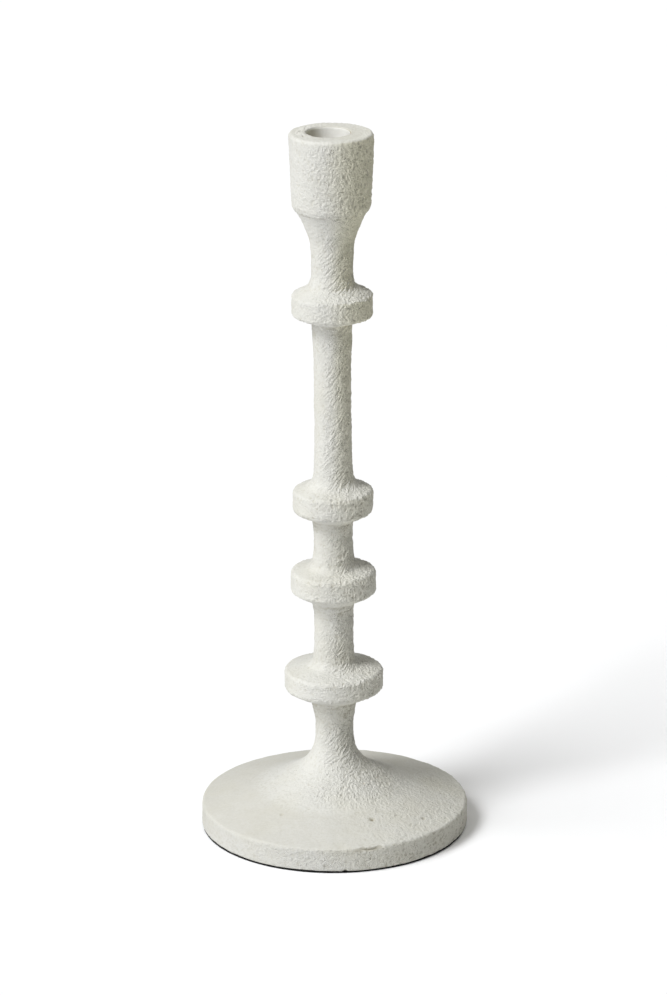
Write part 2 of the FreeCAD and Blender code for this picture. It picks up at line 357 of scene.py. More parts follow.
def relief(points, radius, along, zone):
    """Height of the coat's surface above the turned profile in mm, and its fine part alone."""
    warp = np.stack([noise(points, 3.4, seed) for seed in (11, 12, 13)], axis=-1)
    bent = points + 0.8 * warp
    toward = (points @ ROUGH_SIDE) / np.maximum(radius, 1.0)
    on_neck = step_up(radius, 19.0, 13.0) * zone["stem"]
    rough = worms(points, bent) * (1 - 0.6 * on_neck)
    rough = rough + brush_strokes(points, warp, along, toward) * on_neck
    rough = rough * (0.55 + 0.7 * step_up(toward, -0.8, 0.8))
    turning = noise(points * (0.12, 0.12, 1), 0.9, 81)
    rough = rough * (1 - 0.7 * zone["band"]) + 0.20 * turning * zone["band"]
    bites = step_up(noise(bent, 1.7, 71), 0.1, 0.5) * step_up(noise(points, 7.0, 72), -0.3, 0.3)
    rough = rough * (1 + 0.3 * zone["edge"]) - 0.36 * bites * zone["edge"]
    grain = 0.10 * noise(points, 1.0, 51) + 0.08 * noise(points, 1.7, 52)
    fine = blemished(points, zone["rough"] * rough + grain * zone["grain"])
    lumps = 0.20 * noise(points, 24.0, 61) + 0.16 * noise(points, 7.0, 62)
    return lumps + fine, fine


def zones(section, points, radius, height, edge):
    """How strong each part of the relief is over one section of the outline.

    stem: where necks carry brush strokes.  rough and grain: the coarse ridges and the fine
    grit.  edge: sharp outer edges, which are bitten.  band: turning marks under a collar.
    """
    none = np.zeros_like(radius)
    full = np.ones_like(radius)
    zone = {"stem": full, "rough": full, "grain": full, "edge": edge, "band": none}
    if section == BASE:
        dish = step_up(radius, 30.0, 46.0) * step_up(height, 8.0, 13.0)
        rim = step_up(radius, BASE_RADIUS - 4.0, BASE_RADIUS - 1.0) * step_up(height, 12.5, 10.0)
        side = step_up(points @ ROUGH_SIDE, 0.3 * BASE_RADIUS, 0.85 * BASE_RADIUS)
        worked = 0.12 + 0.5 * side
        above_pad = step_up(height, PAD_TOP, PAD_TOP + 0.6)
        zone["stem"] = none
        zone["rough"] = (1 - (1 - worked) * dish) * (1 - 0.55 * rim) * above_pad
        zone["grain"] = (1 - 0.65 * dish) * above_pad
        zone["edge"] = edge * above_pad
    elif section == CUP:
        zone["rough"] = 1 - 0.6 * step_up(height, CUP_TOP - 5.0, CUP_TOP - 2.0)
        zone["grain"] = zone["rough"]
    elif section > FOOT:
        zone["rough"] = 1 - 0.3 * step_up(radius, 19.5, 24.5)
    if FOOT <= section <= SHAFT:
        seam = (SEAM_4, SEAM_3, SEAM_2, SEAM_1)[section - FOOT]
        zone["band"] = step_up(height, seam - 10.0, seam - 4.0)
    return zone


# --- Rings and meshes -------------------------------------------------
def circle(spokes):
    """Unit vectors to the points round a ring."""
    angles = np.arange(spokes) * (2 * math.pi / spokes)
    return np.stack([np.cos(angles), np.sin(angles)], axis=1)


def rings(corners, spokes):
    """Plain rings from (radius, height) or (radius, height, x, y)."""
    around = circle(spokes)
    made = np.zeros((len(corners), spokes, 3))
    for index, corner in enumerate(corners):
        made[index, :, :2] = corner[0] * around
        made[index, :, 2] = corner[1]
        if len(corner) > 2:
            made[index, :, :2] += corner[2:]
    return made


def coated(section):
    """Rings of one section's coated outside, and the fine relief at each point."""
    span = slice(section_starts[section], section_starts[section + 1] + 1)
    radius = profile[span, 0][:, None]
    height = profile[span, 1][:, None]
    around = circle(SPOKES[section])
    points = np.empty((len(radius), SPOKES[section], 3))
    points[..., 0] = radius * around[:, 0]
    points[..., 1] = radius * around[:, 1]
    points[..., 2] = height
    normal = np.empty_like(points)
    normal[..., 0] = outward[span, 0][:, None] * around[:, 0]
    normal[..., 1] = outward[span, 0][:, None] * around[:, 1]
    normal[..., 2] = outward[span, 1][:, None]
    zone = zones(section, points, radius, height, outer_edge[span][:, None])
    raised, fine = relief(points, radius, travel[span][:, None], zone)
    return points + raised[..., None] * normal, fine


def bare(section, corners):
    """Rings of bare wood with as many points as that section's coat, and no relief."""
    return rings(corners, SPOKES[section]), None


def mark_sharp(mesh, ring_of_vertex, sharp_ring):
    """Mark the edges that run along the sharp rings."""
    ends = np.empty(2 * len(mesh.edges), int)
    mesh.edges.foreach_get("vertices", ends)
    ends = ring_of_vertex[ends.reshape(-1, 2)]
    sharp = (ends[:, 0] == ends[:, 1]) & sharp_ring[ends[:, 0]]
    mesh.edges.foreach_set("use_edge_sharp", sharp)


def loft(name, parts, closed=False):
    """A closed mesh through all the rings of parts, which are (rings, relief) pairs.

    relief is None for bare wood.  Open lofts are capped at both ends.  Also returns which
    faces are bare.
    """
    spokes = parts[0][0].shape[1]
    ring_points = np.concatenate([part[0] for part in parts])
    heights = []
    coat_of_ring = []
    sharp_ring = []
    for index, (part_rings, raised) in enumerate(parts):
        count = len(part_rings)
        heights.append(np.zeros((count, spokes)) if raised is None else raised)
        coat_of_ring += [0 if raised is None else index + 1] * count
        sharp = [raised is None] * count
        sharp[0] = sharp[-1] = True
        sharp_ring += sharp
    total = len(ring_points)
    coat_of_ring = np.array(coat_of_ring)
    grid = np.arange(total * spokes).reshape(total, spokes)
    if closed:
        grid = np.concatenate([grid, grid[:1]])
    low, high = grid[:-1], grid[1:]
    quads = np.stack([low, np.roll(low, -1, 1), np.roll(high, -1, 1), high], axis=-1)
    following = np.roll(coat_of_ring, -1)[:len(low)]
    bare_band = ~((coat_of_ring[:len(low)] == following) & (following > 0))
    faces = quads.reshape(-1, 4).tolist()
    bare_face = np.repeat(bare_band, spokes).tolist()
    vertices = ring_points.reshape(-1, 3)
    if not closed:
        middles = np.stack([ring_points[0].mean(0), ring_points[-1].mean(0)])
        first, last = len(vertices), len(vertices) + 1
        vertices = np.concatenate([vertices, middles])
        start, end = grid[0], grid[-1]
        faces += np.stack([np.full(spokes, first), np.roll(start, -1), start], axis=1).tolist()
        faces += np.stack([end, np.roll(end, -1), np.full(spokes, last)], axis=1).tolist()
        bare_face += [True] * (2 * spokes)
    mesh = bpy.data.meshes.new(name)
    mesh.from_pydata((vertices * MM).tolist(), [], faces)
    mesh.polygons.foreach_set("use_smooth", np.ones(len(faces), bool))
    ring_of_vertex = np.concatenate([np.repeat(np.arange(total), spokes), [-1, -2]])
    mark_sharp(mesh, ring_of_vertex, np.array(sharp_ring + [False, False]))
    values = np.concatenate([np.concatenate(heights).ravel(), [0, 0]])[:len(vertices)]
    layer = mesh.attributes.new("relief", "FLOAT", "POINT")
    layer.data.foreach_set("value", values)
    mesh.update()
    piece = bpy.data.objects.new(name, mesh)
    bpy.context.collection.objects.link(piece)
    return piece, np.array(bare_face)


def smooth_all(piece, degrees):
    """Smooth shading except where faces meet at more than an angle."""
    piece.data.edges.foreach_set("use_edge_sharp", np.zeros(len(piece.data.edges), bool))
    piece.data.set_sharp_from_angle(angle=math.radians(degrees))


def finish_piece(piece, node, materials, bare_face=None):
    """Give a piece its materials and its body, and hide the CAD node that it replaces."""
    for material in materials:
        piece.data.materials.append(material)
    if bare_face is not None and len(materials) > 1:
        piece.data.polygons.foreach_set("material_index", bare_face.astype(int))
    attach(piece, "root")
    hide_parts(node)


# --- Shader helpers ---------------------------------------------------
def new_material(name):
    material = bpy.data.materials.new(name)
    material.use_nodes = True
    tree = material.node_tree
    shader = tree.nodes["Principled BSDF"]
    return material, tree, shader


def add(tree, kind, inputs=None, **settings):
    """Add a node, set its properties, and set or link its inputs."""
    made = tree.nodes.new(kind)
    for name, value in settings.items():
        setattr(made, name, value)
    for name, value in (inputs or {}).items():
        if isinstance(value, bpy.types.NodeSocket):
            tree.links.new(value, made.inputs[name])
        else:
            made.inputs[name].default_value = value
    return made


def object_place(tree):
    return add(tree, "ShaderNodeTexCoord").outputs["Object"]


def noise_node(tree, place, cell, detail=3.0, roughness=0.55, distortion=0.0):
    """Noise whose largest bumps are about one cell (mm) across."""
    made = add(tree, "ShaderNodeTexNoise", {
        "Vector": place,
        "Scale": 1 / (cell * MM),
        "Detail": detail,
        "Roughness": roughness,
        "Distortion": distortion,
    })
    return made.outputs["Fac"]


def spread(tree, value, low, high, to_low=0.0, to_high=1.0):
    """Stretch a value from low..high to to_low..to_high, easing in and out."""
    made = add(tree, "ShaderNodeMapRange", {
        "Value": value,
        "From Min": low,
        "From Max": high,
        "To Min": to_low,
        "To Max": to_high,
    }, interpolation_type="SMOOTHSTEP")
    return made.outputs["Result"]


def times(tree, first, second):
    made = add(tree, "ShaderNodeMath", {0: first, 1: second}, operation="MULTIPLY")
    return made.outputs[0]


def blend_colours(tree, factor, first, second, mode="MIX"):
    made = add(tree, "ShaderNodeMix", data_type="RGBA", blend_type=mode)
    for socket, value in zip((made.inputs[0], made.inputs[6], made.inputs[7]),
                             (factor, first, second)):
        if isinstance(value, bpy.types.NodeSocket):
            tree.links.new(value, socket)
        else:
            socket.default_value = value
    return made.outputs[2]


def dimmed(tree, colour, amount):
    return blend_colours(tree, 1.0, colour, amount, "MULTIPLY")


def bump(tree, height, distance, normal=None, strength=1.0):
    """Bump of a height of 0..1 that stands for a distance in mm."""
    inputs = {"Height": height, "Strength": strength, "Distance": distance * MM}
    if normal is not None:
        inputs["Normal"] = normal
    return add(tree, "ShaderNodeBump", inputs).outputs["Normal"]


# --- Plaster coat -----------------------------------------------------
COAT_WHITE = (0.69, 0.685, 0.645, 1)
COAT_CREAM = (0.665, 0.655, 0.595, 1)
# The four colours from here to the pit colour are painted shade.
COAT_SHADE_TINT = (0.665, 0.645, 0.50, 1)
COAT_HOLLOW_SHADE = (0.52, 0.50, 0.42, 1)
COAT_CREASE_SHADE = (0.40, 0.38, 0.31, 1)
COAT_PIT_SHADE = (0.25, 0.22, 0.15, 1)
GRAIN_SIZE = 0.85
GRAIN_DEPTH = 0.75
FIBRE_SIZE = 1.6
FIBRE_DEPTH = 0.62


def coat_coarseness(tree, toward, radius, height, facing_up):
    """How strong the coat's grain is: less on the dish, near the cup's rim and on tops."""
    on_dish = times(tree, spread(tree, radius, 28 * MM, 42 * MM),
                    spread(tree, facing_up, 0.5, 0.9))
    coarse = add(tree, "ShaderNodeMix", {
        0: on_dish,
        2: spread(tree, toward, -0.8, 0.5, 0.4, 1.0),
        3: spread(tree, toward, 0.35, 1.0, 0.13, 0.8),
    }).outputs[0]
    below_rim = spread(tree, height, (CUP_TOP - 3.0) * MM, CUP_TOP * MM, 1.0, 0.3)
    on_wall = spread(tree, facing_up, 0.3, 0.8, 1.0, 0.85)
    return times(tree, times(tree, coarse, below_rim), on_wall)


def coat_colour(tree, place, toward, height, facing_up, fibre, grain, coarse):
    """Cream patches, a darker base, and painted shade: a yellow tint on the rough side, away
    from the key light, and dark hollows, creases and pits.
    """
    raised = add(tree, "ShaderNodeAttribute", attribute_name="relief").outputs["Fac"]
    upright = spread(tree, facing_up, 0.3, 0.8, 1.0, 0.15)
    cream = spread(tree, noise_node(tree, place, 30, 2.0), 0.4, 0.75)
    colour = blend_colours(tree, cream, COAT_WHITE, COAT_CREAM)
    # Painted shade: a darker, yellower tint on upright faces of the rough side, which faces away
    # from the key light, stronger up the stem.
    shade_tint = times(tree, spread(tree, toward, 0.1, 1.0),
                    spread(tree, height, 100 * MM, 340 * MM, 0.3, 1.0))
    colour = blend_colours(tree, times(tree, shade_tint, upright), colour, COAT_SHADE_TINT)
    # Painted shade in the hollows of the relief.
    hollow = spread(tree, raised, 0.12, -0.12, 0.0, 0.6)
    colour = blend_colours(tree, hollow, colour, COAT_HOLLOW_SHADE)
    # Painted shade, deeper, in the hollows of upright faces on the rough side, away from the key
    # light.
    rough_side_shade = times(tree, spread(tree, raised, 0.16, -0.02, 0.0, 0.75),
                 spread(tree, toward, 0.1, 0.95))
    colour = blend_colours(tree, times(tree, rough_side_shade, upright), colour, COAT_CREASE_SHADE)
    # Painted shade in the pits, the chip and the crack.
    pit = spread(tree, raised, -0.35, -0.75, 0.0, 0.8)
    colour = blend_colours(tree, pit, colour, COAT_PIT_SHADE)
    # Painted shade in the creases of the fibre bump.
    crease = times(tree, spread(tree, fibre, 0.08, 0.0, 0.0, 0.14), coarse)
    colour = blend_colours(tree, crease, colour, COAT_CREASE_SHADE)
    colour = dimmed(tree, colour, spread(tree, grain, 0.3, 0.7, 0.985, 1.0))
    colour = dimmed(tree, colour, spread(tree, height, 18 * MM, 40 * MM, 0.92, 1.0))
    return dimmed(tree, colour, spread(tree, height, 11 * MM, 13.5 * MM, 0.965, 1.0))


def make_coat():
    """Chalky plaster paint with sandy grain and short matted fibres."""
    material, tree, shader = new_material("plaster_coat")
    place = object_place(tree)
    height = add(tree, "ShaderNodeSeparateXYZ", {"Vector": place}).outputs["Z"]
    level = add(tree, "ShaderNodeVectorMath", {0: place, 1: (1, 1, 0)},
                operation="MULTIPLY").outputs[0]
    ray = add(tree, "ShaderNodeVectorMath", {0: level}, operation="NORMALIZE").outputs[0]
    toward = add(tree, "ShaderNodeVectorMath", {0: ray, 1: ROUGH_SIDE},
                 operation="DOT_PRODUCT").outputs["Value"]
    radius = add(tree, "ShaderNodeVectorMath", {0: level}, operation="LENGTH").outputs["Value"]
    surface = add(tree, "ShaderNodeNewGeometry").outputs["Normal"]
    facing_up = add(tree, "ShaderNodeSeparateXYZ", {"Vector": surface}).outputs["Z"]
    coarse = coat_coarseness(tree, toward, radius, height, facing_up)
    fibre = add(tree, "ShaderNodeTexNoise", {
        "Vector": place,
        "Scale": 1 / (FIBRE_SIZE * MM),
        "Detail": 2.0,
        "Distortion": 0.6,
    }, noise_type="RIDGED_MULTIFRACTAL").outputs["Fac"]
    grain = noise_node(tree, place, GRAIN_SIZE, 3.0, 0.6)
    colour = coat_colour(tree, place, toward, height, facing_up, fibre, grain, coarse)
    tree.links.new(colour, shader.inputs["Base Color"])
    dull = spread(tree, noise_node(tree, place, 3.0), 0.3, 0.7, 0.8, 0.95)
    tree.links.new(dull, shader.inputs["Roughness"])
    shader.inputs["Specular IOR Level"].default_value = 0.25
    normal = bump(tree, grain, GRAIN_DEPTH, strength=coarse)
    normal = bump(tree, fibre, FIBRE_DEPTH, normal, coarse)
    tree.links.new(normal, shader.inputs["Normal"])
    return material


# --- Other materials --------------------------------------------------
WOOD_DARK = (0.55, 0.38, 0.22, 1)
WOOD_PALE = (0.68, 0.51, 0.33, 1)


def make_bare_wood(name, turn):
    """Pale close-grained wood, with its grain along Z unless it is turned."""
    material, tree, shader = new_material(name)
    along = add(tree, "ShaderNodeMapping", {
        "Vector": object_place(tree),
        "Rotation": turn,
        "Scale": (1, 1, 0.06),
    }).outputs["Vector"]
    grain = noise_node(tree, along, 1.4, 4.0, 0.6, 0.6)
    pores = noise_node(tree, along, 0.35, 2.0)
    colour = blend_colours(tree, spread(tree, grain, 0.35, 0.65), WOOD_DARK, WOOD_PALE)
    colour = dimmed(tree, colour, spread(tree, pores, 0.35, 0.5, 0.75, 1.0))
    tree.links.new(colour, shader.inputs["Base Color"])
    tree.links.new(spread(tree, grain, 0.3, 0.7, 0.55, 0.7), shader.inputs["Roughness"])
    tree.links.new(bump(tree, pores, 0.04), shader.inputs["Normal"])
    return material


PAINT_PALE = (0.86, 0.855, 0.82, 1)
PAINT_DULL = (0.83, 0.82, 0.78, 1)
PAINT_SHADE = (0.52, 0.50, 0.40, 1)


def make_liner_paint():
    """Smooth off-white satin paint on steel, with painted shade on its -X side."""
    material, tree, shader = new_material("liner_paint")
    place = object_place(tree)
    shade = spread(tree, noise_node(tree, place, 5.0, 3.0), 0.35, 0.65)
    colour = blend_colours(tree, shade, PAINT_PALE, PAINT_DULL)
    across = add(tree, "ShaderNodeSeparateXYZ", {"Vector": place}).outputs["X"]
    # Painted shade: the -X side of the bore, which the rim keeps from the light, is darker.
    liner_shade = spread(tree, across, -3 * MM, -11 * MM, 0.0, 0.85)
    colour = blend_colours(tree, liner_shade, colour, PAINT_SHADE)
    tree.links.new(colour, shader.inputs["Base Color"])
    gloss = spread(tree, noise_node(tree, place, 2.0), 0.3, 0.7, 0.5, 0.65)
    tree.links.new(gloss, shader.inputs["Roughness"])
    peel = noise_node(tree, place, 0.9, 2.0)
    tree.links.new(bump(tree, peel, 0.03), shader.inputs["Normal"])
    return material


STEEL_DARK = (0.50, 0.49, 0.47, 1)
STEEL_PALE = (0.66, 0.65, 0.62, 1)


def make_steel():
    """Zinc-plated steel with fine turning marks round the axis."""
    material, tree, shader = new_material("screw_steel")
    place = object_place(tree)
    shader.inputs["Metallic"].default_value = 1.0
    haze = noise_node(tree, place, 1.2, 4.0)
    colour = blend_colours(tree, spread(tree, haze, 0.35, 0.65), STEEL_DARK, STEEL_PALE)
    tree.links.new(colour, shader.inputs["Base Color"])
    tree.links.new(spread(tree, haze, 0.3, 0.7, 0.28, 0.5), shader.inputs["Roughness"])
    marks = add(tree, "ShaderNodeTexWave", {
        "Vector": place,
        "Scale": 1 / (2.2 * MM),
        "Distortion": 1.5,
        "Detail": 2.0,
    }, wave_type="RINGS", rings_direction="Z").outputs["Fac"]
    tree.links.new(bump(tree, marks, 0.01), shader.inputs["Normal"])
    return material


FELT_DARK = (0.004, 0.004, 0.004, 1)
FELT_PALE = (0.014, 0.0135, 0.013, 1)
FELT_LINT = (0.06, 0.06, 0.057, 1)


def make_felt():
    """Black needled felt: matted fibres and a little lint."""
    material, tree, shader = new_material("black_felt")
    place = object_place(tree)
    fibre = noise_node(tree, place, 0.5, 5.0, 0.75, 2.0)
    lint = noise_node(tree, place, 0.25, 1.0)
    colour = blend_colours(tree, spread(tree, fibre, 0.35, 0.7), FELT_DARK, FELT_PALE)
    colour = blend_colours(tree, spread(tree, lint, 0.72, 0.78, 0, 0.5), colour, FELT_LINT)
    tree.links.new(colour, shader.inputs["Base Color"])
    tree.links.new(spread(tree, fibre, 0.3, 0.7, 0.9, 1.0), shader.inputs["Roughness"])
    shader.inputs["Specular IOR Level"].default_value = 0.1
    shader.inputs["Sheen Weight"].default_value = 0.05
    tree.links.new(bump(tree, fibre, 0.2), shader.inputs["Normal"])
    return material


FLOOR_DULL = (0.96, 0.962, 0.975, 1)
FLOOR_PALE = (0.975, 0.977, 0.99, 1)


def make_floor_material():
    """Matt white studio sweep with the faintest mottling."""
    material, tree, shader = new_material("studio_floor")
    cloud = spread(tree, noise_node(tree, object_place(tree), 180, 3.0), 0.3, 0.7)
    colour = blend_colours(tree, cloud, FLOOR_DULL, FLOOR_PALE)
    tree.links.new(colour, shader.inputs["Base Color"])
    shader.inputs["Roughness"].default_value = 0.9
    shader.inputs["Specular IOR Level"].default_value = 0.0
    return material


coat = make_coat()
wood = make_bare_wood("bare_wood", (0, 0, 0))
wood_level = make_bare_wood("bare_wood_level", (0, math.pi / 2, 0))


# --- Turned pieces ----------------------------------------------------
UNDERSIDE_RINGS = (30, 50)   # radii that divide the flat underside
BORE_EDGE = 0.8              # rounding of the coat where the rim turns into the bore
RIM_RINGS = 26               # rings across the rim
RIM_TRAVEL = 5.0             # distance along the profile that the rim counts as
RIM_START_ROUGH = 0.4        # strength of the relief at the top of the cup's side
RIM_ROUGH_AZIMUTH = 160      # where the rim is roughest, in degrees


def mortise(radius, shoulder, length):
    """Hole for a tenon, from its floor down to the shoulder."""
    floor = shoulder + length + END_GAP
    wall = radius + GLUE_GAP
    return [
        (wall - ARRIS, floor),
        (wall, floor - ARRIS),
        (wall, shoulder + ARRIS),
        (wall + ARRIS, shoulder),
    ]


def tenon(radius, shoulder, length):
    """Tenon with a fillet at its root and a chamfered end, from its shoulder up."""
    return [
        (radius + TENON_FILLET, shoulder),
        (radius, shoulder + FILLET_HEIGHT),
        (radius, shoulder + length - TENON_CHAMFER),
        (radius - TENON_CHAMFER, shoulder + length),
    ]


def make_base():
    """Base with a recess for the screw's head below and a mortise for the foot above."""
    floor = FOOT_TENON_END - END_GAP
    wall = FOOT_TENON_RADIUS + GLUE_GAP
    below = [
        (BASE_HOLE, WASHER_TOP),
        (BASE_RECESS_RADIUS, WASHER_TOP),
        (BASE_RECESS_RADIUS, PAD_TOP + RECESS_CHAMFER),
        (BASE_RECESS_RADIUS + RECESS_CHAMFER, PAD_TOP),
    ]
    below += [(radius, PAD_TOP) for radius in UNDERSIDE_RINGS]
    above = [
        (BASE_SHOULDER, BASE_TOP),
        (wall + ARRIS, BASE_TOP),
        (wall, BASE_TOP - ARRIS),
        (wall, floor),
        (BASE_HOLE, floor),
    ]
    parts = [bare(BASE, below), coated(BASE), bare(BASE, above)]
    piece, bare_face = loft("base_coated", parts, closed=True)
    finish_piece(piece, "base", [coat, wood_level], bare_face)


def make_foot():
    """Foot section, from its pilot hole and the tenon in the base up to its top tenon."""
    below = [
        (BASE_PILOT, BASE_SCREW_END + END_GAP),
        (BASE_PILOT, FOOT_TENON_END),
        (FOOT_TENON_RADIUS - TENON_CHAMFER, FOOT_TENON_END),
        (FOOT_TENON_RADIUS, FOOT_TENON_END + TENON_CHAMFER),
        (FOOT_TENON_RADIUS, BASE_TOP - FILLET_HEIGHT),
        (FOOT_TENON_RADIUS + WIDE_FILLET, BASE_TOP),
        (BASE_SHOULDER, BASE_TOP),
    ]
    above = tenon(TENON_RADIUS, SEAM_4, TENON_LENGTH)
    parts = [bare(FOOT, below), coated(FOOT), bare(FOOT, above)]
    piece, bare_face = loft("foot_section_coated", parts)
    finish_piece(piece, "foot_section", [coat, wood], bare_face)


def make_section(node, section, low_seam, high_seam):
    """Section with a mortise in its lower end and a tenon on its upper end."""
    parts = [
        bare(section, mortise(TENON_RADIUS, low_seam, TENON_LENGTH)),
        coated(section),
        bare(section, tenon(TENON_RADIUS, high_seam, TENON_LENGTH)),
    ]
    piece, bare_face = loft(node + "_coated", parts)
    finish_piece(piece, node, [coat, wood], bare_face)


def make_upper():
    """Upper section with a mortise below, and above a spigot with a pilot hole."""
    spigot = [
        (SPIGOT_RADIUS + WIDE_FILLET, CUP_BOTTOM),
        (SPIGOT_RADIUS, CUP_BOTTOM + FILLET_HEIGHT),
        (SPIGOT_RADIUS, SPIGOT_TOP - TENON_CHAMFER),
        (SPIGOT_RADIUS - TENON_CHAMFER, SPIGOT_TOP),
        (CUP_PILOT, SPIGOT_TOP),
        (CUP_PILOT, CUP_SCREW_END - END_GAP),
    ]
    parts = [
        bare(UPPER, mortise(TENON_RADIUS, SEAM_1, TENON_LENGTH)),
        coated(UPPER),
        bare(UPPER, spigot),
    ]
    piece, bare_face = loft("upper_section_coated", parts)
    finish_piece(piece, "upper_section", [coat, wood], bare_face)


def coated_rim(bore):
    """Rings of the coat from the cup's edge over its rim into the bore, and their relief."""
    spokes = SPOKES[CUP]
    start = profile[-1, 0]
    across = np.linspace(0, 1, RIM_RINGS + 1)[1:]
    turns = np.linspace(0, math.pi / 2, 5)[1:]
    corners = []
    for share in across:
        radius = start + share * (bore + BORE_EDGE - start)
        corners.append((radius, CUP_TOP, share * LINER_CENTRE[0], share * LINER_CENTRE[1]))
    for turn in turns:
        radius = bore + BORE_EDGE * (1 - math.sin(turn))
        corners.append((radius, CUP_TOP - BORE_EDGE * (1 - math.cos(turn)), *LINER_CENTRE))
    band = rings(corners, spokes)
    lean = np.concatenate([np.zeros(RIM_RINGS), turns])[:, None, None]
    inward = np.concatenate([-circle(spokes), np.zeros((spokes, 1))], axis=1)
    normal = np.cos(lean) * (0, 0, 1) + np.sin(lean) * inward
    share = np.concatenate([across, np.ones(len(turns))])[:, None]
    azimuth = np.arctan2(band[..., 1], band[..., 0])
    rough_side = np.cos(azimuth - math.radians(RIM_ROUGH_AZIMUTH))
    rough = 0.15 + 2.0 * step_up(rough_side, 0.3, 0.9)
    rough = RIM_START_ROUGH + (rough - RIM_START_ROUGH) * step_up(share, 0.0, 0.3)
    rough *= 1 - 0.75 * step_up(share, 0.75, 1.0)
    none = np.zeros_like(share)
    full = np.ones_like(share)
    zone = {"stem": full, "rough": rough, "grain": 0.4 + 0.6 * rough, "edge": none, "band": none}
    along = travel[-1] + RIM_TRAVEL * share
    height, fine = relief(band, np.full_like(share, start), along, zone)
    return band + height[..., None] * normal, fine


def make_cup():
    """Cup with its rim carried inwards to the bore, which is a little off the axis."""
    bore = LINER_RADIUS + LINER_CLEARANCE
    socket = SPIGOT_RADIUS + GLUE_GAP
    side, side_relief = coated(CUP)
    rim, rim_relief = coated_rim(bore)
    coat_rings = np.concatenate([side, rim]), np.concatenate([side_relief, rim_relief])
    floor = CUP_SCREW_SEAT - LINER_WALL
    inside = [
        (bore, LINER_TOP - 1.0, *LINER_CENTRE),
        (bore, floor, *LINER_CENTRE),
        (DIMPLE_RADIUS - LINER_WALL, floor),
        (DIMPLE_RADIUS - DIMPLE_DEPTH, CUP_SCREW_SEAT - DIMPLE_DEPTH),
        (CUP_HOLE, CUP_SCREW_SEAT - DIMPLE_DEPTH),
        (CUP_HOLE, SPIGOT_TOP + END_GAP),
        (socket, SPIGOT_TOP + END_GAP),
        (socket, CUP_BOTTOM + ARRIS),
        (socket + ARRIS, CUP_BOTTOM),
    ]
    piece, bare_face = loft("candle_cup_coated", [coat_rings, bare(CUP, inside)], closed=True)
    finish_piece(piece, "candle_cup", [coat, wood], bare_face)


make_base()
make_foot()
make_section("lower_section", LOWER, SEAM_4, SEAM_3)
make_section("middle_section", MIDDLE, SEAM_3, SEAM_2)
make_section("shaft_section", SHAFT, SEAM_2, SEAM_1)
make_upper()
make_cup()

# --- Liner ------------------------------------------------------------
LINER_SPOKES = 256
LINER_CORNER = 1.5         # rounding between the liner's wall and its floor


def make_liner():
    """Pressed steel cup with a rolled lip and a dimpled floor, off the axis."""
    inside = LINER_RADIUS - LINER_WALL
    floor = CUP_SCREW_SEAT
    roll = LINER_WALL / 2
    outside = [
        (CUP_HOLE, floor - DIMPLE_DEPTH),
        (DIMPLE_RADIUS - DIMPLE_DEPTH, floor - DIMPLE_DEPTH),
        (DIMPLE_RADIUS - LINER_WALL, floor - LINER_WALL),
        (LINER_RADIUS - 1.0, floor - LINER_WALL, *LINER_CENTRE),
        (LINER_RADIUS, floor + 0.5, *LINER_CENTRE),
    ]
    lip = []
    for turn in np.linspace(0, math.pi, 9):
        lip.append((LINER_RADIUS - roll * (1 - math.cos(turn)),
                    LINER_TOP - roll * (1 - math.sin(turn)), *LINER_CENTRE))
    wall = []
    for height in np.linspace(LINER_TOP - 1, floor + LINER_CORNER, 40):
        wall.append((inside, height, *LINER_CENTRE))
    corner = []
    for turn in np.linspace(0, math.pi / 2, 7)[1:]:
        corner.append((inside - LINER_CORNER * (1 - math.cos(turn)),
                       floor + LINER_CORNER * (1 - math.sin(turn)), *LINER_CENTRE))
    dimple = [
        (FLAT_HEAD_RADIUS + 0.5, floor),
        (FLAT_HEAD_RADIUS + 0.1, floor - 0.1),
        (CUP_HOLE, floor - (FLAT_HEAD_RADIUS - CUP_HOLE)),
    ]
    made = rings(outside + lip + wall + corner + dimple, LINER_SPOKES)
    wave = 0.05 * noise(made, 9.0, 71) + 0.015 * noise(made, 2.5, 72)
    made[..., :2] *= (1 + wave / LINER_RADIUS)[..., None]
    piece, _ = loft("socket_liner_painted", [(made, None)], closed=True)
    smooth_all(piece, 40)
    finish_piece(piece, "socket_liner", [make_liner_paint()])


make_liner()

# --- Felt pad ---------------------------------------------------------
PAD_SPOKES = 640
PAD_SOFT = 0.3             # how far the felt's lower edge is rounded inwards
PAD_HAIR = 0.12            # how far the fibres stand out of the cut edge
PAD_MATTING = 0.06         # unevenness of the underside


def make_pad():
    """Cut felt disc with a slightly hairy edge, matted below and pressed flat above."""
    below = [(radius, 0) for radius in np.linspace(2, PAD_RADIUS - PAD_SOFT, 62)]
    edge = [(PAD_RADIUS, share * PAD_TOP) for share in (0.25, 0.5, 0.8)]
    above = [(radius, PAD_TOP) for radius in np.linspace(PAD_RADIUS - 0.2, 2, 24)]
    made = rings(below + edge + above, PAD_SPOKES)
    hair = noise(made, 0.8, 81) + 0.6 * noise(made, 2.2, 82)
    side = np.zeros(len(made))
    side[len(below) - 1:len(below) + len(edge)] = 1
    length = 1 + PAD_HAIR * hair * side[:, None] / PAD_RADIUS
    made[..., :2] *= length[..., None]
    made[:len(below), :, 2] = PAD_MATTING + PAD_MATTING * np.clip(hair[:len(below)], -1, 1)
    piece, _ = loft("felt_pad_cut", [(made, None)])
    smooth_all(piece, 50)
    finish_piece(piece, "felt_pad", [make_felt()])


make_pad()

